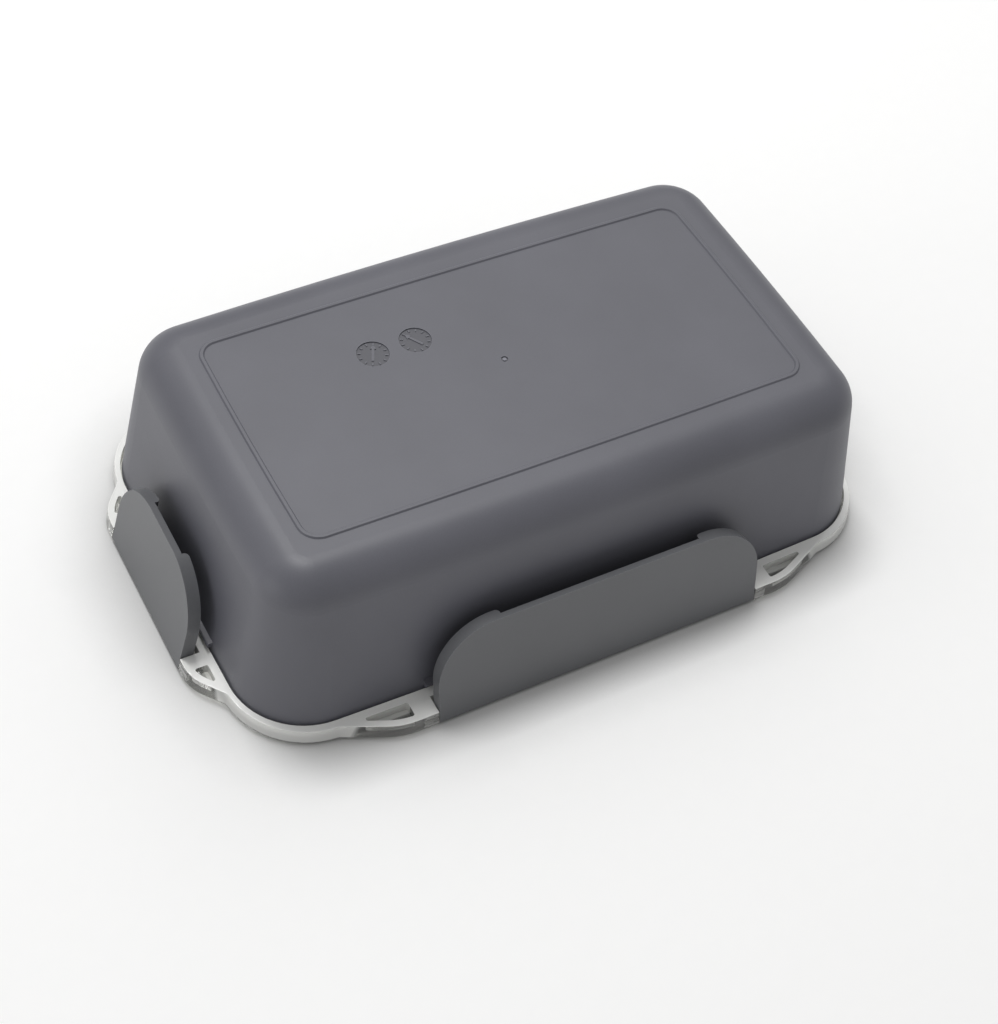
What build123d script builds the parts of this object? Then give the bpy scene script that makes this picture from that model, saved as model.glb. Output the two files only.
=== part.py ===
from build123d import *

import math
import os
from collections import namedtuple

# A clip-lock lunch box, stored upside down: the lid lies on the ground and the
# container stands on it with its base up. Millimetres, +Z up, origin on the
# ground under the middle. X runs along the length, -Y is the front.

# ---- container ----------------------------------------------------------------
RIM_LENGTH = 206.4          # outside, at the rim's edge
RIM_WIDTH = 126.0           # outside, at the rim's edge
HEIGHT = 57.0               # ground to the flat of the base
DRAFT = 9.1                 # lean of the container's walls, degrees
WALL = 2.2
BASE_WALL = 2.4
SIDE_BOW = 1.8              # how far the long sides swell outwards at mid-length
END_BOW = 1.1               # the same for the short sides
RIM_CORNER_R = 22.5
BASE_EDGE_R = 12.2

BEAD_LENGTH = 160.0         # raised bead that frames the base
BEAD_WIDTH = 77.6
BEAD_LINE = 1.6
BEAD_HEIGHT = 0.45
BEAD_FLANK = 0.42          # width of its sloping flanks
BEAD_CORNER_R = 5.6
BEAD_BOW = 0.5
DIAL_R = 4.9                # two date dials set into the base
DIAL_DEPTH = 0.35
DIAL_RELIEF = 0.25          # arrow and marks, above the dial's floor
DIAL_ARROW_LENGTH = 5.2
DIAL_ARROW_WIDTH = 0.7
DIAL_HEAD_R = 1.0
DIAL_MARK_LENGTH = 0.9
DIAL_MARK_WIDTH = 0.35
DIAL_MARK_RING_R = 4.0
DIAL_MARKS = 12
DIAL_PLACES = [(-34.2, 16.5), (-20.5, 16.8)]
DIAL_TURNS = [64.0, 123.0]
GATE_R = 1.1                # moulding gate: a dimple with a pip
GATE_PIP_R = 0.55
GATE_DEPTH = 0.3

RIB_RISE = 1.3              # catch rib, proud of the wall, under each latch
RIB_HEIGHT = 1.7
RIB_ABOVE_LID = 1.2
RIB_PAST_LATCH = 0.6
RIB_EDGE_R = 0.5

# ---- lid ----------------------------------------------------------------------
LID_HEIGHT = 5.2
LID_PLATE = 2.0
CHANNEL_FLOOR = 1.8
LEDGE_SIDES = 3.5           # skirt's foot beyond the rim, along the long sides
LEDGE_ENDS = 2.6            # the same at the short ends
LID_EDGE_R = 0.9
LID_TOP_EDGE_R = 0.35
RIM_PLAY = 0.35             # container rim to the lid's skirt
SKIRT_WALL = 2.4            # skirt where an ear's pocket lies behind it
SPIGOT_PLAY = 0.6           # container wall to the lid's inner rib
SPIGOT_WALL = 1.6
PANEL_INSET = 9.0           # shallow panel in the lid's outer face
PANEL_DEPTH = 0.5
PANEL_DRAFT = 45

# ---- gasket -------------------------------------------------------------------
GASKET_HEIGHT = 1.5
GASKET_SLACK = 0.1
GASKET_EDGE_R = 0.5
SEAL_GAP = 0.1              # gasket to the container's rim

# ---- latches and their pins -----------------------------------------------------
LATCH_REACH = 9.7           # latch's outer face beyond the rim, at its foot
LATCH_FOOT = 0.4            # foot of the latch above the ground
LATCH_TOP = 31.7
LATCH_LEAN = 12.0           # degrees inwards
LATCH_PLATE = 2.0
LATCH_DEPTH = 3.9           # plate and returned edge together
LATCH_EDGE = 1.9            # thickness of the returned edge
LATCH_CORNER_R = 18.0
LATCH_FACE_R = 0.9
LATCH_GAP = 0.3             # end of the latch to the lid's bosses
LONG_LATCH = 106.0
SHORT_LATCH = 51.0
LONG_NOTCH = 65.0           # finger notch in the returned edge at the top
SHORT_NOTCH = 20.0
NOTCH_DROP = 3.8            # notch below the latch's top
NOTCH_SHARE = 0.7           # its end rounds, as a share of the returned edge's depth
PIN_R = 1.0
PIN_PLAY = 0.06             # radial, in the latch and in the lid
PIN_INSET = 2.75            # pin's axis behind the latch's outer face at its foot
PIN_HEIGHT = 2.9            # pin's axis above the ground
KNUCKLE_R = 2.0
PIN_GRIP = 3.8              # how far the pin reaches into each boss
PIN_END_PLAY = 0.3
PIN_CHAMFER = 0.2
SNAP_MOUTH = 1.7            # slot under each bore, through which the pin snaps in
HOOK_BITE = 0.8             # how far the hook reaches over the rib
HOOK_LIFT = 0.3             # hook above the rib
HOOK_THICK = 1.8
HOOK_SHORTER = 9.0          # hook's end to the latch's end
HOOK_TIP_R = 0.5
SWING_PLAY = 0.3            # lid to anything that the latch sweeps

# ---- ears: clear bulges of the lid at both ends of each latch -------------------
BOSS_LONG = 6.6             # bosses that hold the pins of the long latches
BOSS_SHORT = 4.8
EAR_WALL = 2.0
EAR_FLAT_LONG = 11.6        # straight part of the ear beyond the latch's end
EAR_RAMP_LONG = 18.1        # length over which it falls back to the skirt
EAR_ROUND_LONG = 24.0
EAR_FLAT_SHORT = 7.4
EAR_RAMP_SHORT = 10.2
EAR_ROUND_SHORT = 14.0
EAR_HOLLOW_R = 4.0          # concave round where the ear leaves the skirt
POCKET_END_R = 0.6

# ---- derived levels -------------------------------------------------------------
RIM_Z = CHANNEL_FLOOR + GASKET_HEIGHT + SEAL_GAP
BASE_Z = HEIGHT
RIB_Z = LID_HEIGHT + RIB_ABOVE_LID
RIB_TOP = RIB_Z + RIB_HEIGHT
HOOK_Z = RIB_TOP + HOOK_LIFT
LID_SLOPE = math.tan(math.radians(DRAFT))
BORE_R = PIN_R + PIN_PLAY
LATCH_FACE = (LATCH_TOP - LATCH_FOOT) / math.cos(math.radians(LATCH_LEAN))
LEAN_SLOPE = math.tan(math.radians(LATCH_LEAN))
HEEL = LATCH_DEPTH / math.cos(math.radians(LATCH_LEAN)) - PIN_INSET
FOOT_SWING = math.hypot(max(PIN_INSET, HEEL), PIN_HEIGHT - LATCH_FOOT)

# One record for each side of the box. along runs along the side, out points away
# from the box, wall is the rim's distance from the middle.
Side = namedtuple("Side", "along out wall bow ledge latch notch boss flat ramp rounding")
LONG = (RIM_WIDTH / 2, SIDE_BOW, LEDGE_SIDES, LONG_LATCH, LONG_NOTCH)
SHORT = (RIM_LENGTH / 2, END_BOW, LEDGE_ENDS, SHORT_LATCH, SHORT_NOTCH)
LONG_EAR = (BOSS_LONG, EAR_FLAT_LONG, EAR_RAMP_LONG, EAR_ROUND_LONG)
SHORT_EAR = (BOSS_SHORT, EAR_FLAT_SHORT, EAR_RAMP_SHORT, EAR_ROUND_SHORT)
SIDES = {
    "front": Side(Vector(1, 0, 0), Vector(0, -1, 0), *LONG, *LONG_EAR),
    "back": Side(Vector(-1, 0, 0), Vector(0, 1, 0), *LONG, *LONG_EAR),
    "left": Side(Vector(0, -1, 0), Vector(-1, 0, 0), *SHORT, *SHORT_EAR),
    "right": Side(Vector(0, 1, 0), Vector(1, 0, 0), *SHORT, *SHORT_EAR),
}


def bowed_sides(length, width, end_bow=END_BOW, side_bow=SIDE_BOW):
    """Four arcs that close into a rectangle with gently swollen sides."""
    x, y = length / 2, width / 2
    corner_x, corner_y = x - end_bow, y - side_bow
    ThreePointArc((-corner_x, -corner_y), (0, -y), (corner_x, -corner_y))
    ThreePointArc((corner_x, -corner_y), (x, 0), (corner_x, corner_y))
    ThreePointArc((corner_x, corner_y), (0, y), (-corner_x, corner_y))
    ThreePointArc((-corner_x, corner_y), (-x, 0), (-corner_x, -corner_y))


def ground_point(side, along, out):
    """A point of the ground plane, given along a side and out from the middle."""
    place = side.along * along + side.out * out
    return (place.X, place.Y)


def pin_line(side):
    """Plane whose origin is the middle of the side's pin and whose normal is its axis."""
    centre = side.out * (side.wall + LATCH_REACH - PIN_INSET) + Vector(0, 0, PIN_HEIGHT)
    return Plane(origin=centre, x_dir=side.out, z_dir=side.along)


def section_plane(side):
    """Cross-section plane of a side: local x points out and local y points up."""
    return Plane(origin=(0, 0, 0), x_dir=side.out, z_dir=side.out.cross(Vector(0, 0, 1)))


def face_plane(side):
    """Plane of a latch's outer face, with its origin at the middle of the foot."""
    lean = math.radians(LATCH_LEAN)
    foot = side.out * (side.wall + LATCH_REACH) + Vector(0, 0, LATCH_FOOT)
    normal = side.out * math.cos(lean) + Vector(0, 0, math.sin(lean))
    return Plane(origin=foot, x_dir=side.along, z_dir=normal)


# ---- container: one thin shell with its catch ribs ------------------------------
with BuildPart() as hollow:
    with BuildSketch(Plane.XY.offset(RIM_Z)) as mouth:
        with BuildLine():
            bowed_sides(RIM_LENGTH - 2 * WALL, RIM_WIDTH - 2 * WALL)
        make_face()
        fillet(mouth.vertices(), RIM_CORNER_R - WALL)
    extrude(amount=BASE_Z - BASE_WALL - RIM_Z, taper=DRAFT)
    fillet(hollow.faces().sort_by(Axis.Z)[-1].edges(), BASE_EDGE_R - WALL)

with BuildPart() as container:
    with BuildSketch(Plane.XY.offset(RIM_Z)) as rim:
        with BuildLine():
            bowed_sides(RIM_LENGTH, RIM_WIDTH)
        make_face()
        fillet(rim.vertices(), RIM_CORNER_R)
    extrude(amount=BASE_Z - RIM_Z, taper=DRAFT)
    fillet(container.faces().sort_by(Axis.Z)[-1].edges(), BASE_EDGE_R)

    for side in SIDES.values():
        rib_out = side.wall - (RIB_Z - RIM_Z) * LID_SLOPE + RIB_RISE
        with BuildSketch(section_plane(side)) as rib_section:
            with Locations((rib_out - WALL / 2, RIB_Z + RIB_HEIGHT / 2)):
                Rectangle(WALL, RIB_HEIGHT)
            fillet(rib_section.vertices().sort_by(Axis.X)[-2:], RIB_EDGE_R)
        extrude(amount=side.latch / 2 + RIB_PAST_LATCH, both=True)
    add(hollow.part, mode=Mode.SUBTRACT)

    with BuildSketch(Plane.XY.offset(BASE_Z - BASE_WALL / 2)) as bead:
        with BuildLine():
            bowed_sides(BEAD_LENGTH + BEAD_LINE, BEAD_WIDTH + BEAD_LINE, BEAD_BOW, BEAD_BOW)
        make_face()
        fillet(bead.vertices(), BEAD_CORNER_R + BEAD_LINE / 2)
        with BuildSketch(mode=Mode.SUBTRACT) as bead_hole:
            with BuildLine():
                bowed_sides(BEAD_LENGTH - BEAD_LINE, BEAD_WIDTH - BEAD_LINE, BEAD_BOW, BEAD_BOW)
            make_face()
            fillet(bead_hole.vertices(), BEAD_CORNER_R - BEAD_LINE / 2)
    extrude(amount=BASE_WALL / 2 + BEAD_HEIGHT)
    chamfer(container.faces().sort_by(Axis.Z)[-1].edges(), BEAD_FLANK)

    with BuildSketch(Plane.XY.offset(BASE_Z)):
        with Locations(*DIAL_PLACES):
            Circle(DIAL_R)
    extrude(amount=-DIAL_DEPTH, mode=Mode.SUBTRACT)
    with BuildSketch(Plane.XY.offset(BASE_Z - DIAL_DEPTH)):
        for place, turn in zip(DIAL_PLACES, DIAL_TURNS):
            with Locations(Location((*place, 0), (0, 0, turn))):
                Rectangle(DIAL_ARROW_LENGTH, DIAL_ARROW_WIDTH)
                with Locations((DIAL_ARROW_LENGTH / 2, 0)):
                    RegularPolygon(DIAL_HEAD_R, 3)
                with PolarLocations(DIAL_MARK_RING_R, DIAL_MARKS):
                    Rectangle(DIAL_MARK_LENGTH, DIAL_MARK_WIDTH)
    extrude(amount=DIAL_RELIEF)
    with BuildSketch(Plane.XY.offset(BASE_Z)):
        Circle(GATE_R)
    extrude(amount=-GATE_DEPTH, mode=Mode.SUBTRACT)
    with BuildSketch(Plane.XY.offset(BASE_Z - GATE_DEPTH)):
        Circle(GATE_PIP_R)
    extrude(amount=GATE_DEPTH)
container.part.label = "container"

# ---- lid: clear tray with a sealing channel, four latch slots and eight ears ------
def ear_outline(side):
    """Foot of the bulge that carries one latch, with an ear beyond each of its ends."""
    near = side.latch / 2 + side.flat
    far = near + side.ramp
    skirt = side.wall + side.ledge - side.bow
    with BuildSketch() as bulge:
        with BuildLine():
            Polyline(
                ground_point(side, -far, skirt / 2),
                ground_point(side, -far, skirt),
                ground_point(side, -near, side.wall + LATCH_REACH),
                ground_point(side, near, side.wall + LATCH_REACH),
                ground_point(side, far, skirt),
                ground_point(side, far, skirt / 2),
                close=True,
            )
        make_face()
        for along in (-near, near):
            ear_front = ground_point(side, along, side.wall + LATCH_REACH)
            fillet(bulge.vertices().sort_by_distance(ear_front)[0], side.rounding)
    return bulge.sketch


with BuildPart() as lid:
    with BuildSketch() as outline:
        with BuildLine():
            bowed_sides(RIM_LENGTH + 2 * LEDGE_ENDS, RIM_WIDTH + 2 * LEDGE_SIDES)
        make_face()
        fillet(outline.vertices(), RIM_CORNER_R + (LEDGE_ENDS + LEDGE_SIDES) / 2)
    extrude(amount=LID_HEIGHT, taper=DRAFT)
    for side in SIDES.values():
        with BuildSketch():
            add(ear_outline(side))
        extrude(amount=LID_HEIGHT, taper=DRAFT)
    for side in SIDES.values():
        far = side.latch / 2 + side.flat + side.ramp
        for along in (-far, far):
            ear_root = (*ground_point(side, along, side.wall + side.ledge), LID_HEIGHT / 2)
            upright = lid.edges().filter_by(lambda edge: edge.length < 2 * LID_HEIGHT)
            fillet(upright.sort_by_distance(ear_root)[0], EAR_HOLLOW_R)
    fillet(lid.faces().sort_by(Axis.Z)[0].edges(), LID_EDGE_R)
    fillet(lid.faces().sort_by(Axis.Z)[-1].edges(), LID_TOP_EDGE_R)

    with BuildSketch(Plane.XY.offset(CHANNEL_FLOOR)) as channel:
        with BuildLine():
            bowed_sides(RIM_LENGTH + 2 * RIM_PLAY, RIM_WIDTH + 2 * RIM_PLAY)
        make_face()
        fillet(channel.vertices(), RIM_CORNER_R + RIM_PLAY)
    extrude(amount=LID_HEIGHT, mode=Mode.SUBTRACT)
    with BuildSketch(Plane.XY.offset(CHANNEL_FLOOR)) as spigot:
        inset = WALL + SPIGOT_PLAY
        with BuildLine():
            bowed_sides(RIM_LENGTH - 2 * inset, RIM_WIDTH - 2 * inset)
        make_face()
        fillet(spigot.vertices(), RIM_CORNER_R - inset)
    extrude(amount=LID_HEIGHT - CHANNEL_FLOOR)
    with BuildSketch(Plane.XY.offset(LID_PLATE)) as tray:
        inset = WALL + SPIGOT_PLAY + SPIGOT_WALL
        with BuildLine():
            bowed_sides(RIM_LENGTH - 2 * inset, RIM_WIDTH - 2 * inset)
        make_face()
        fillet(tray.vertices(), RIM_CORNER_R - inset)
    extrude(amount=LID_HEIGHT, mode=Mode.SUBTRACT)
    with BuildSketch() as panel:
        with BuildLine():
            bowed_sides(RIM_LENGTH - 2 * PANEL_INSET, RIM_WIDTH - 2 * PANEL_INSET)
        make_face()
        fillet(panel.vertices(), RIM_CORNER_R - PANEL_INSET)
    extrude(amount=PANEL_DEPTH, taper=PANEL_DRAFT, mode=Mode.SUBTRACT)

    with BuildSketch(Plane.XY.offset(LID_HEIGHT)) as pockets:
        for side in SIDES.values():
            add(ear_outline(side))
        offset(amount=-(EAR_WALL + LID_HEIGHT * LID_SLOPE), mode=Mode.REPLACE)
        for side in SIDES.values():
            with Locations(ground_point(side, 0, side.wall)):
                reach = side.latch + 2 * (LATCH_GAP + side.boss)
                width = abs(side.along.X) * reach + abs(side.out.X) * side.wall
                depth = abs(side.along.Y) * reach + abs(side.out.Y) * side.wall
                Rectangle(width, depth, mode=Mode.SUBTRACT)
        with BuildLine():
            skirt = RIM_PLAY + SKIRT_WALL
            bowed_sides(RIM_LENGTH + 2 * skirt, RIM_WIDTH + 2 * skirt)
        make_face(mode=Mode.SUBTRACT)
        offset(amount=-POCKET_END_R, mode=Mode.REPLACE)
        offset(amount=POCKET_END_R, mode=Mode.REPLACE)
    extrude(amount=-(LID_HEIGHT - CHANNEL_FLOOR), mode=Mode.SUBTRACT)

    for side in SIDES.values():
        pin_out = side.wall + LATCH_REACH - PIN_INSET
        slot_in = pin_out - FOOT_SWING - SWING_PLAY
        with BuildSketch(section_plane(side)):
            with Locations((slot_in + LATCH_REACH / 2, LID_HEIGHT / 2)):
                Rectangle(LATCH_REACH, 2 * LID_HEIGHT)
        extrude(amount=side.latch / 2 + LATCH_GAP, both=True, mode=Mode.SUBTRACT)
        with BuildSketch(section_plane(side)):
            with Locations((pin_out, PIN_HEIGHT)):
                Circle(BORE_R)
            with Locations((pin_out, PIN_HEIGHT / 2)):
                Rectangle(SNAP_MOUTH, PIN_HEIGHT)
        grip = side.latch / 2 + LATCH_GAP + PIN_GRIP + PIN_END_PLAY
        extrude(amount=grip, both=True, mode=Mode.SUBTRACT)
lid.part.label = "lid"

# ---- gasket: ring that lies in the lid's channel and bears on the rim -------------
with BuildPart() as gasket:
    with BuildSketch(Plane.XY.offset(CHANNEL_FLOOR)) as ring:
        outset = RIM_PLAY - GASKET_SLACK
        inset = WALL + SPIGOT_PLAY - GASKET_SLACK
        with BuildLine():
            bowed_sides(RIM_LENGTH + 2 * outset, RIM_WIDTH + 2 * outset)
        make_face()
        fillet(ring.vertices(), RIM_CORNER_R + outset)
        with BuildSketch(mode=Mode.SUBTRACT) as hole:
            with BuildLine():
                bowed_sides(RIM_LENGTH - 2 * inset, RIM_WIDTH - 2 * inset)
            make_face()
            fillet(hole.vertices(), RIM_CORNER_R - inset)
    extrude(amount=GASKET_HEIGHT)
    fillet(gasket.faces().sort_by(Axis.Z)[-1].edges(), GASKET_EDGE_R)
gasket.part.label = "gasket"


# ---- latches: leaning flaps with a returned edge, a knuckle and a hook ------------
def make_latch(name, side):
    """One latch, closed, with its foot at the ground."""
    face = face_plane(side)
    with BuildPart() as latch:
        with BuildSketch(face) as front:
            with Locations((0, LATCH_FACE / 2)):
                Rectangle(side.latch, LATCH_FACE)
            fillet(front.vertices().sort_by(Axis.Y)[-2:], LATCH_CORNER_R)
        extrude(amount=-LATCH_DEPTH)
        fillet(latch.faces().sort_by_distance(face.origin)[0].edges().sort_by(Axis.Z)[1:], LATCH_FACE_R)

        with BuildSketch(face.offset(-LATCH_PLATE)) as inside:
            with Locations((0, LATCH_FACE / 2 - LATCH_EDGE)):
                Rectangle(side.latch - 2 * LATCH_EDGE, LATCH_FACE)
            fillet(inside.vertices().sort_by(Axis.Y)[-2:], LATCH_CORNER_R - LATCH_EDGE)
        extrude(amount=-LATCH_DEPTH, mode=Mode.SUBTRACT)
        with BuildSketch(face.offset(-LATCH_PLATE)):
            with Locations((0, LATCH_FACE)):
                Rectangle(side.notch, 2 * NOTCH_DROP)
        extrude(amount=-LATCH_DEPTH, mode=Mode.SUBTRACT)
        for along in (-side.notch / 2, side.notch / 2):
            corner = face.from_local_coords((along, LATCH_FACE - LATCH_EDGE / 2, -LATCH_DEPTH))
            fillet(latch.edges().sort_by_distance(corner)[0], NOTCH_SHARE * (LATCH_DEPTH - LATCH_PLATE))

        with BuildSketch(pin_line(side)):
            Circle(KNUCKLE_R)
        extrude(amount=side.latch / 2, both=True)

        hook_in = side.wall - (RIB_Z - RIM_Z) * LID_SLOPE + RIB_RISE - HOOK_BITE
        hook_out = side.wall + LATCH_REACH - (HOOK_Z - LATCH_FOOT) * LEAN_SLOPE - LATCH_PLATE / 2
        with BuildSketch(section_plane(side)) as hook:
            with Locations(((hook_in + hook_out) / 2, HOOK_Z + HOOK_THICK / 2)):
                Rectangle(hook_out - hook_in, HOOK_THICK)
            fillet(hook.vertices().sort_by(Axis.X)[:2], HOOK_TIP_R)
        extrude(amount=side.latch / 2 - HOOK_SHORTER, both=True)

        with BuildSketch(pin_line(side)):
            Circle(BORE_R)
        extrude(amount=side.latch / 2, both=True, mode=Mode.SUBTRACT)
        split(bisect_by=Plane.XY.offset(LATCH_FOOT), keep=Keep.TOP)
    latch.part.label = f"latch_{name}"
    return latch.part


def make_pin(name, side):
    """Steel pin through a latch's knuckle, with both ends in the lid's bosses."""
    with BuildPart() as pin:
        with BuildSketch(pin_line(side)):
            Circle(PIN_R)
        extrude(amount=side.latch / 2 + LATCH_GAP + PIN_GRIP, both=True)
        chamfer(pin.edges().filter_by(GeomType.CIRCLE), PIN_CHAMFER)
    pin.part.label = f"pin_{name}"
    return pin.part


pieces = [container.part, lid.part, gasket.part]
for side_name, box_side in SIDES.items():
    pieces.append(make_latch(side_name, box_side))
    pieces.append(make_pin(side_name, box_side))

os.makedirs("parts", exist_ok=True)
for piece in pieces:
    export_step(piece, f"parts/{piece.label}.step")
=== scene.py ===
import math

import bpy
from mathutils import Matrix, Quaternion, Vector


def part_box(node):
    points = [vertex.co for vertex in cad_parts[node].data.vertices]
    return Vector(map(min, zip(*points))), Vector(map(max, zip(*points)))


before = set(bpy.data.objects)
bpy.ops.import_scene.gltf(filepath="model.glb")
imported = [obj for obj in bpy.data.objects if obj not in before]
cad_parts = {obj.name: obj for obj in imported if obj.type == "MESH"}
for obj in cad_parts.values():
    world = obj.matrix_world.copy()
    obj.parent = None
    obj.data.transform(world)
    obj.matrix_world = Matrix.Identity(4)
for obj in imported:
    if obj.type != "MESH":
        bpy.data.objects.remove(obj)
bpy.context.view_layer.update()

SCENE = bpy.context.scene

# ---- camera: position round the box in degrees and metres ------------------------
CAMERA_AZIMUTH = -34.74
CAMERA_ELEVATION = 50.66
CAMERA_ROLL = 8.755
CAMERA_DISTANCE = 0.56549
CAMERA_AIM = Vector((-0.01493, -0.03051, 0.0287))
LENS = 68.78
SENSOR_WIDTH = 36.0

# ---- studio ----------------------------------------------------------------------
FLOOR_SIZE = 6.0
FLOOR_DROP = 0.0003
FLOOR_DARK = (0.955, 0.955, 0.95)
FLOOR_LIGHT = (0.975, 0.975, 0.97)
PAINTED_SHADOW_REACH = 0.025       # painted shadow: the paper is darkened this near to the box
PAINTED_SHADOW_SHADE = 0.45
PAINTED_SHADOW_SHUT = 0.35         # open share of the sky at which the painted shadow is darkest
PAINTED_SHADOW_SAMPLES = 16
FIBRE_SCALE = 160.0
PAPER_ROUGHNESS = 0.9
PAPER_SPECULAR = 0.1
WORLD_COLOR = (1.0, 1.0, 1.0)
WORLD_STRENGTH = 0.42
SOFTBOX_DISTANCE = 1.6
SOFTBOXES = (               # name, azimuth and elevation in degrees, side in metres, watts
    ("softbox_key", 180.0, 70.0, 0.45, 12.4),
    ("softbox_back_right", 135.0, 45.0, 1.0, 3.0),
    ("softbox_back_left", -135.0, 45.0, 1.0, 2.2),
    ("softbox_left", -90.0, 12.0, 0.8, 3.0),
)

# ---- moulded plastic: linear colours, noise scales per metre, depths in metres ---------
BODY_DARK = (0.105, 0.106, 0.124)
BODY_LIGHT = (0.118, 0.119, 0.139)
LATCH_DARK = (0.114, 0.117, 0.124)
LATCH_LIGHT = (0.125, 0.128, 0.136)
DIAL_SHADE = 0.72           # dial floors against the base
GATE_SHADE = 1.7
EDGE_SHADE = 1.30           # rubbed edges against the faces
EDGE_POLISH = 0.08
EDGE_RADIUS = 0.0004
EDGE_FACING = (0.995, 0.86)
BODY_ROUGHNESS = 0.44
BODY_GRAIN = 2600.0
LATCH_ROUGHNESS = 0.33
LATCH_GRAIN = 3200.0
GRAIN_SHADE = 0.045
GRAIN_ROUGHNESS = 0.05
GRAIN_STRENGTH = 0.22
GRAIN_DEPTH = 0.00004
CLOUD_SCALE = 30.0
SMEAR_SCALE = 14.0
SMEAR_ROUGHNESS = 0.05
PLASTIC_IOR = 1.5

# ---- clear lid: shares of clearness, bands as shares of the lid's height ----------------
CLEAR_TOPS = 0.10           # transmission of the lid's flat tops; the rest is milky white, painted light on the upward-facing tops
CLEAR_SKIRT = 0.40          # skirt, made half milky to paint in the lit white sealing ring close behind it
CLEAR_EARS = 0.92
CLEAR_DARK = (0.93, 0.935, 0.91)
CLEAR_LIGHT = (0.98, 0.98, 0.96)
CLEAR_SHADOW = (0.62, 0.62, 0.60)
CLEAR_ROUGHNESS = (0.03, 0.16)
CLEAR_IOR = 1.49
HAZE_SCALE = 60.0
SCUFF_SCALE = 900.0
WAVE_SCALE = 120.0
WAVE_STRENGTH = 0.12
WAVE_DEPTH = 0.0002
# where the painted light on the lid's flat tops begins, and how far up a face must look to get it
TOP_BAND = (0.72, 0.90)
TOP_FACING = (0.35, 0.85)
FOOT_BAND = (0.12, 0.24)
EAR_SHADE = 0.74            # painted shade: the ears' sides are greyer than the rest
EAR_START = 0.0026          # ears begin this far outside the container's box
EAR_FULL = 1.3              # and are full at this many times as far

# ---- sealing ring and pins ---------------------------------------------------------
SILICONE_DARK = (0.84, 0.84, 0.80)
SILICONE_LIGHT = (0.92, 0.92, 0.89)
SILICONE_ROUGHNESS = (0.42, 0.58)
DUST_SCALE = 400.0
DUST_STRENGTH = 0.15
DUST_DEPTH = 0.00003
STEEL_DARK = (0.52, 0.52, 0.53)
STEEL_LIGHT = (0.66, 0.66, 0.67)
STEEL_ROUGHNESS = (0.2, 0.36)
STEEL_EDGE_RADIUS = 0.0003
STEEL_EDGE_SHADE = 1.15
MOTTLE_SCALE = 700.0
MOTTLE_STRENGTH = 0.1
MOTTLE_DEPTH = 0.00002

# ---- heights on the container, from its own box, metres --------------------------------
BOX_LOW, BOX_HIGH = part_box("container")
MIDDLE = ((BOX_LOW[0] + BOX_HIGH[0]) / 2, (BOX_LOW[1] + BOX_HIGH[1]) / 2)
BEAD_RISE = 0.00045
DIAL_DEPTH = 0.00035
DIAL_FLOOR = BOX_HIGH[2] - BEAD_RISE - DIAL_DEPTH
LEVEL_BAND = 0.00008
GATE_RADIUS = 0.0007
GATE_START = 0.8            # share of its radius where the gate starts to fade
BASE_DEPTH = 0.001          # marks stop this far below the dial floors
UPWARD = (0.985, 0.995)     # a face that looks straight up
LID_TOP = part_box("lid")[1][2]


def node(tree, kind, **values):
    """A new node with some of its attributes or inputs set."""
    made = tree.nodes.new(kind)
    for key, value in values.items():
        if hasattr(made, key):
            setattr(made, key, value)
        else:
            made.inputs[key.replace("_", " ")].default_value = value
    return made


def new_material(name):
    """A node material with its Principled shader: returns material, tree, shader."""
    made = bpy.data.materials.new(name)
    made.use_nodes = True
    return made, made.node_tree, made.node_tree.nodes["Principled BSDF"]


def noise(tree, place, scale, detail=2.0, roughness=0.5):
    made = node(tree, "ShaderNodeTexNoise", Scale=scale, Detail=detail, Roughness=roughness)
    tree.links.new(place, made.inputs["Vector"])
    return made.outputs["Fac"]


def spread(tree, value, low, high, out_low, out_high):
    """Map low..high of a value onto out_low..out_high, clamped."""
    made = node(tree, "ShaderNodeMapRange")
    for index, number in enumerate((low, high, out_low, out_high), start=1):
        made.inputs[index].default_value = number
    tree.links.new(value, made.inputs[0])
    return made.outputs[0]


def maths(tree, operation, first, second=0.0):
    """A Math node; its inputs are numbers or outputs of other nodes."""
    made = node(tree, "ShaderNodeMath", operation=operation)
    for index, value in enumerate((first, second)):
        if isinstance(value, (int, float)):
            made.inputs[index].default_value = value
        else:
            tree.links.new(value, made.inputs[index])
    return made.outputs[0]


def split(tree, vector):
    """The three parts of a vector."""
    made = node(tree, "ShaderNodeSeparateXYZ")
    tree.links.new(vector, made.inputs[0])
    return made.outputs


def object_place(tree):
    return node(tree, "ShaderNodeTexCoord").outputs["Object"]


def upward_part(tree):
    """How far a face looks up, -1 to 1."""
    return split(tree, node(tree, "ShaderNodeTexCoord").outputs["Normal"])[2]


def blend(tree, share, first, second):
    """Mix of two linear colours by a value."""
    made = node(tree, "ShaderNodeMix", data_type="RGBA")
    made.inputs["A"].default_value = (*first, 1)
    made.inputs["B"].default_value = (*second, 1)
    tree.links.new(share, made.inputs["Factor"])
    return made.outputs["Result"]


def shaded(tree, colour, amount):
    """A colour multiplied by a value."""
    made = node(tree, "ShaderNodeVectorMath", operation="SCALE")
    tree.links.new(colour, made.inputs[0])
    tree.links.new(amount, made.inputs["Scale"])
    return made.outputs[0]


def edges(tree, radius):
    """0 on open faces, rising to 1 along convex and concave edges."""
    bevel = node(tree, "ShaderNodeBevel", samples=6, Radius=radius)
    plain = node(tree, "ShaderNodeNewGeometry")
    facing = node(tree, "ShaderNodeVectorMath", operation="DOT_PRODUCT")
    tree.links.new(bevel.outputs["Normal"], facing.inputs[0])
    tree.links.new(plain.outputs["Normal"], facing.inputs[1])
    return spread(tree, facing.outputs["Value"], *EDGE_FACING, 0.0, 1.0)


def grain_bump(tree, shader, grain, strength, depth):
    bump = node(tree, "ShaderNodeBump", Strength=strength, Distance=depth)
    tree.links.new(grain, bump.inputs["Height"])
    tree.links.new(bump.outputs["Normal"], shader.inputs["Normal"])


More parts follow.
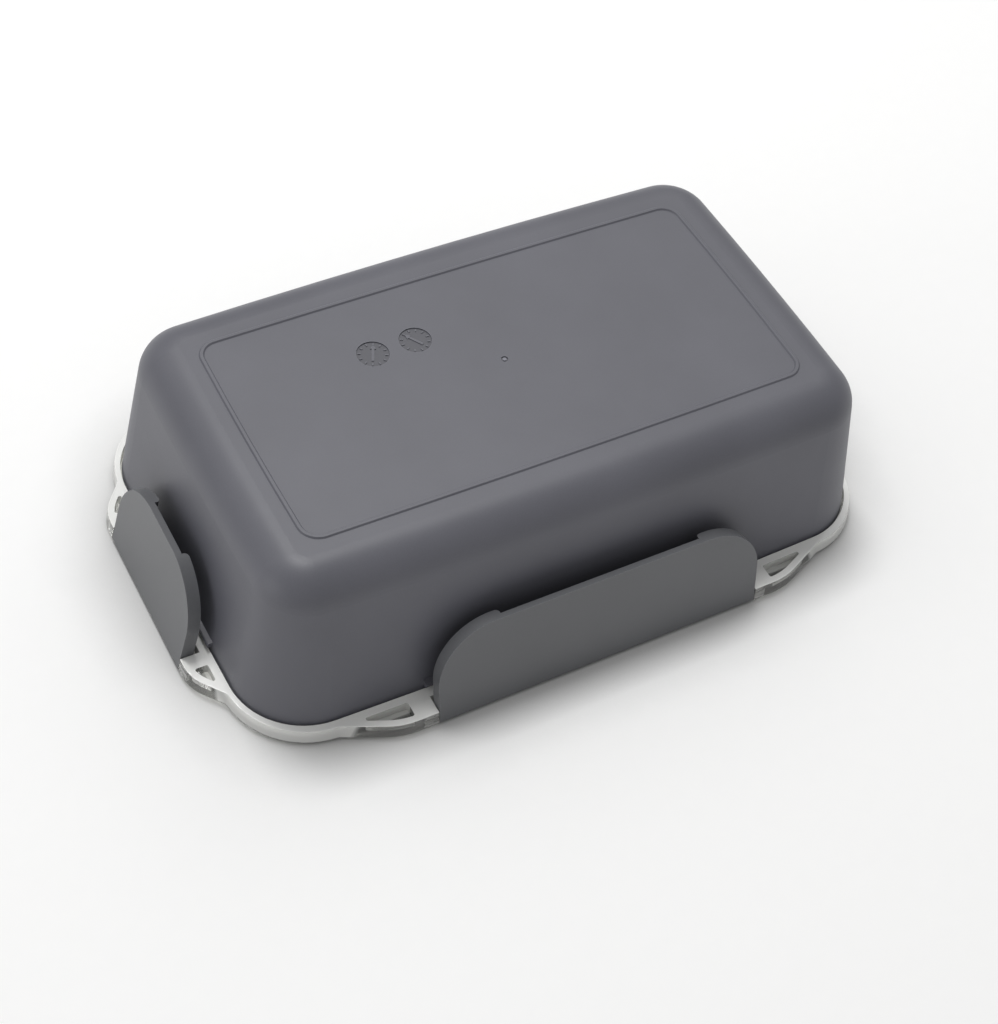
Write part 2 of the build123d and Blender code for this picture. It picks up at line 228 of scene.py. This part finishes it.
def base_marks(tree, place):
    """Shade of the container's base: dark dial floors and the pale moulding gate."""
    axes = split(tree, place)
    level = maths(tree, "ABSOLUTE", maths(tree, "SUBTRACT", axes[2], DIAL_FLOOR))
    dial = spread(tree, level, LEVEL_BAND, 2 * LEVEL_BAND, 1.0, 0.0)
    dial = maths(tree, "MULTIPLY", dial, spread(tree, upward_part(tree), *UPWARD, 0.0, 1.0))
    across = maths(tree, "POWER", maths(tree, "SUBTRACT", axes[0], MIDDLE[0]), 2.0)
    along = maths(tree, "POWER", maths(tree, "SUBTRACT", axes[1], MIDDLE[1]), 2.0)
    away = maths(tree, "SQRT", maths(tree, "ADD", across, along))
    gate = spread(tree, away, GATE_START * GATE_RADIUS, GATE_RADIUS, 1.0, 0.0)
    high = spread(tree, axes[2], DIAL_FLOOR - BASE_DEPTH, DIAL_FLOOR, 0.0, 1.0)
    gate = maths(tree, "MULTIPLY", gate, high)
    dial_shade = spread(tree, dial, 0.0, 1.0, 1.0, DIAL_SHADE)
    gate_shade = spread(tree, gate, 0.0, 1.0, 1.0, GATE_SHADE)
    return maths(tree, "MULTIPLY", dial_shade, gate_shade)


def moulded_plastic(name, dark, light, roughness, grain_scale, marks=None):
    """Textured moulding: cloudy colour, fine grain, rubbed edges."""
    made, tree, shader = new_material(name)
    place = object_place(tree)
    cloud = spread(tree, noise(tree, place, CLOUD_SCALE, 4.0), 0.32, 0.68, 0.0, 1.0)
    grain = noise(tree, place, grain_scale, 3.0, 0.6)
    worn = edges(tree, EDGE_RADIUS)
    shade = spread(tree, grain, 0.3, 0.7, 1.0 - GRAIN_SHADE, 1.0 + GRAIN_SHADE)
    shade = maths(tree, "MULTIPLY", shade, spread(tree, worn, 0.0, 1.0, 1.0, EDGE_SHADE))
    if marks:
        shade = maths(tree, "MULTIPLY", shade, marks(tree, place))
    colour = shaded(tree, blend(tree, cloud, dark, light), shade)
    tree.links.new(colour, shader.inputs["Base Color"])
    rough = spread(tree, grain, 0.3, 0.7, roughness - GRAIN_ROUGHNESS, roughness + GRAIN_ROUGHNESS)
    smear = noise(tree, place, SMEAR_SCALE, 5.0, 0.65)
    smear = spread(tree, smear, 0.35, 0.7, 0.0, SMEAR_ROUGHNESS)
    polish = maths(tree, "MULTIPLY", worn, EDGE_POLISH)
    rough = maths(tree, "SUBTRACT", maths(tree, "ADD", rough, smear), polish)
    tree.links.new(rough, shader.inputs["Roughness"])
    grain_bump(tree, shader, grain, GRAIN_STRENGTH, GRAIN_DEPTH)
    shader.inputs["IOR"].default_value = PLASTIC_IOR
    return made


def lid_ears(tree, place):
    """0 on the lid's skirt, 1 on its ears, which stand outside the container's box."""
    ears = None
    for axis in (0, 1):
        far = maths(tree, "ABSOLUTE", place[axis])
        start = BOX_HIGH[axis] + EAR_START
        full = BOX_HIGH[axis] + EAR_FULL * EAR_START
        ear = spread(tree, far, start, full, 0.0, 1.0)
        ears = maths(tree, "MAXIMUM", ears, ear) if ears else ear
    return ears


def clear_plastic(name):
    """Clear moulding that lets light through: flat tops made milky as painted light from above, a
    half-milky skirt painting in the lit white ring behind it, painted shade on the ears' sides, clear
    ears and foot, scuffs.
    """
    made, tree, shader = new_material(name)
    place = object_place(tree)
    axes = split(tree, place)
    ears = lid_ears(tree, axes)
    # painted light: faces near the top of the lid that look up are made milky white, as if lit from
    # above
    top = spread(tree, axes[2], TOP_BAND[0] * LID_TOP, TOP_BAND[1] * LID_TOP, 0.0, 1.0)
    foot = spread(tree, axes[2], FOOT_BAND[0] * LID_TOP, FOOT_BAND[1] * LID_TOP, 1.0, 0.0)
    painted_light_tops = maths(tree, "MULTIPLY", top, spread(tree, upward_part(tree), *TOP_FACING, 0.0, 1.0))

    scuff = noise(tree, place, SCUFF_SCALE, 4.0, 0.65)
    tree.links.new(spread(tree, scuff, 0.35, 0.75, *CLEAR_ROUGHNESS), shader.inputs["Roughness"])
    grain_bump(tree, shader, noise(tree, place, WAVE_SCALE, 2.0), WAVE_STRENGTH, WAVE_DEPTH)

    # painted shade: the ears' sides, not their flat tops, are greyed
    painted_ear_shade = maths(tree, "MULTIPLY", ears, spread(tree, painted_light_tops, 0.0, 1.0, 1.0, 0.0))
    colour = blend(tree, noise(tree, place, HAZE_SCALE, 3.0), CLEAR_DARK, CLEAR_LIGHT)
    colour = shaded(tree, colour, spread(tree, painted_ear_shade, 0.0, 1.0, 1.0, EAR_SHADE))
    tree.links.new(colour, shader.inputs["Base Color"])

    # painted light: where there are neither ears nor foot, the lid is half milky, standing in for the
    # lit white ring behind the skirt
    clear = maths(tree, "MAXIMUM", ears, foot)
    clear = spread(tree, clear, 0.0, 1.0, CLEAR_SKIRT, CLEAR_EARS)
    # painted light: the flat tops let only CLEAR_TOPS through and show milky white
    most = spread(tree, painted_light_tops, 0.0, 1.0, 1.0, CLEAR_TOPS)
    clear = maths(tree, "MINIMUM", clear, most)
    tree.links.new(clear, shader.inputs["Transmission Weight"])
    shader.inputs["IOR"].default_value = CLEAR_IOR

    lamps = node(tree, "ShaderNodeLightPath")
    shadow = node(tree, "ShaderNodeBsdfTransparent", Color=(*CLEAR_SHADOW, 1))
    either = node(tree, "ShaderNodeMixShader")
    tree.links.new(lamps.outputs["Is Shadow Ray"], either.inputs[0])
    tree.links.new(shader.outputs[0], either.inputs[1])
    tree.links.new(shadow.outputs[0], either.inputs[2])
    tree.links.new(either.outputs[0], tree.nodes["Material Output"].inputs["Surface"])
    return made


def silicone(name):
    """Milky sealing ring with a satin skin and a little dust."""
    made, tree, shader = new_material(name)
    dust = noise(tree, object_place(tree), DUST_SCALE, 4.0, 0.6)
    colour = blend(tree, dust, SILICONE_DARK, SILICONE_LIGHT)
    tree.links.new(colour, shader.inputs["Base Color"])
    tree.links.new(spread(tree, dust, 0.3, 0.7, *SILICONE_ROUGHNESS), shader.inputs["Roughness"])
    grain_bump(tree, shader, dust, DUST_STRENGTH, DUST_DEPTH)
    return made


def steel(name):
    """Satin wire: finely mottled, with brighter edges."""
    made, tree, shader = new_material(name)
    mottle = noise(tree, object_place(tree), MOTTLE_SCALE, 5.0, 0.7)
    worn = spread(tree, edges(tree, STEEL_EDGE_RADIUS), 0.0, 1.0, 1.0, STEEL_EDGE_SHADE)
    colour = shaded(tree, blend(tree, mottle, STEEL_DARK, STEEL_LIGHT), worn)
    tree.links.new(colour, shader.inputs["Base Color"])
    tree.links.new(spread(tree, mottle, 0.3, 0.7, *STEEL_ROUGHNESS), shader.inputs["Roughness"])
    grain_bump(tree, shader, mottle, MOTTLE_STRENGTH, MOTTLE_DEPTH)
    shader.inputs["Metallic"].default_value = 1.0
    return made


BODY = moulded_plastic("body_grain", BODY_DARK, BODY_LIGHT, BODY_ROUGHNESS, BODY_GRAIN, base_marks)
LATCH = moulded_plastic("latch_grain", LATCH_DARK, LATCH_LIGHT, LATCH_ROUGHNESS, LATCH_GRAIN)
CLEAR = clear_plastic("clear_lid")
SILICONE = silicone("gasket_silicone")
STEEL = steel("pin_steel")


def finish_node(name, material):
    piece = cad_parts[name]
    piece.data.materials.clear()
    piece.data.materials.append(material)


finish_node("container", BODY)
finish_node("lid", CLEAR)
finish_node("gasket", SILICONE)
for side in ("front", "back", "left", "right"):
    finish_node("latch_" + side, LATCH)
    finish_node("pin_" + side, STEEL)


# ---- stage, lights, camera -------------------------------------------------------
def towards(azimuth, elevation):
    """Unit vector from the box; azimuth 0 is the front, 90 the right side."""
    a, e = math.radians(azimuth), math.radians(elevation)
    return Vector((math.sin(a) * math.cos(e), -math.cos(a) * math.cos(e), math.sin(e)))


def add_floor():
    bpy.ops.mesh.primitive_plane_add(size=FLOOR_SIZE, location=(0, 0, -FLOOR_DROP))
    floor = bpy.context.object
    floor.name = "studio_floor"
    made, tree, shader = new_material("floor_paper")
    fibre = noise(tree, object_place(tree), FIBRE_SCALE, 3.0)
    # painted shadow: an ambient occlusion node darkens the paper close to the box
    painted_shadow = node(tree, "ShaderNodeAmbientOcclusion", samples=PAINTED_SHADOW_SAMPLES, Distance=PAINTED_SHADOW_REACH)
    shade = spread(tree, painted_shadow.outputs["AO"], PAINTED_SHADOW_SHUT, 1.0, PAINTED_SHADOW_SHADE, 1.0)
    paper = shaded(tree, blend(tree, fibre, FLOOR_DARK, FLOOR_LIGHT), shade)
    tree.links.new(paper, shader.inputs["Base Color"])
    shader.inputs["Roughness"].default_value = PAPER_ROUGHNESS
    shader.inputs["Specular IOR Level"].default_value = PAPER_SPECULAR
    floor.data.materials.append(made)


def add_softbox(name, azimuth, elevation, size, power):
    back = towards(azimuth, elevation)
    data = bpy.data.lights.new(name, "AREA")
    data.shape = "SQUARE"
    data.size = size
    data.energy = power
    light = bpy.data.objects.new(name, data)
    SCENE.collection.objects.link(light)
    light.location = back * SOFTBOX_DISTANCE
    light.rotation_mode = "QUATERNION"
    light.rotation_quaternion = (-back).to_track_quat("-Z", "Y")


def add_world():
    world = bpy.data.worlds.new("studio")
    world.use_nodes = True
    shade = world.node_tree.nodes["Background"]
    shade.inputs["Color"].default_value = (*WORLD_COLOR, 1)
    shade.inputs["Strength"].default_value = WORLD_STRENGTH
    SCENE.world = world


def add_camera():
    back = towards(CAMERA_AZIMUTH, CAMERA_ELEVATION)
    data = bpy.data.cameras.new("photo_camera")
    data.sensor_width = SENSOR_WIDTH
    data.lens = LENS
    camera = bpy.data.objects.new("photo_camera", data)
    SCENE.collection.objects.link(camera)
    camera.location = CAMERA_AIM + back * CAMERA_DISTANCE
    camera.rotation_mode = "QUATERNION"
    level = (-back).to_track_quat("-Z", "Y")
    camera.rotation_quaternion = level @ Quaternion((0, 0, 1), math.radians(CAMERA_ROLL))
    SCENE.camera = camera


add_floor()
add_world()
for softbox in SOFTBOXES:
    add_softbox(*softbox)
add_camera()
SCENE.view_settings.view_transform = "Standard"
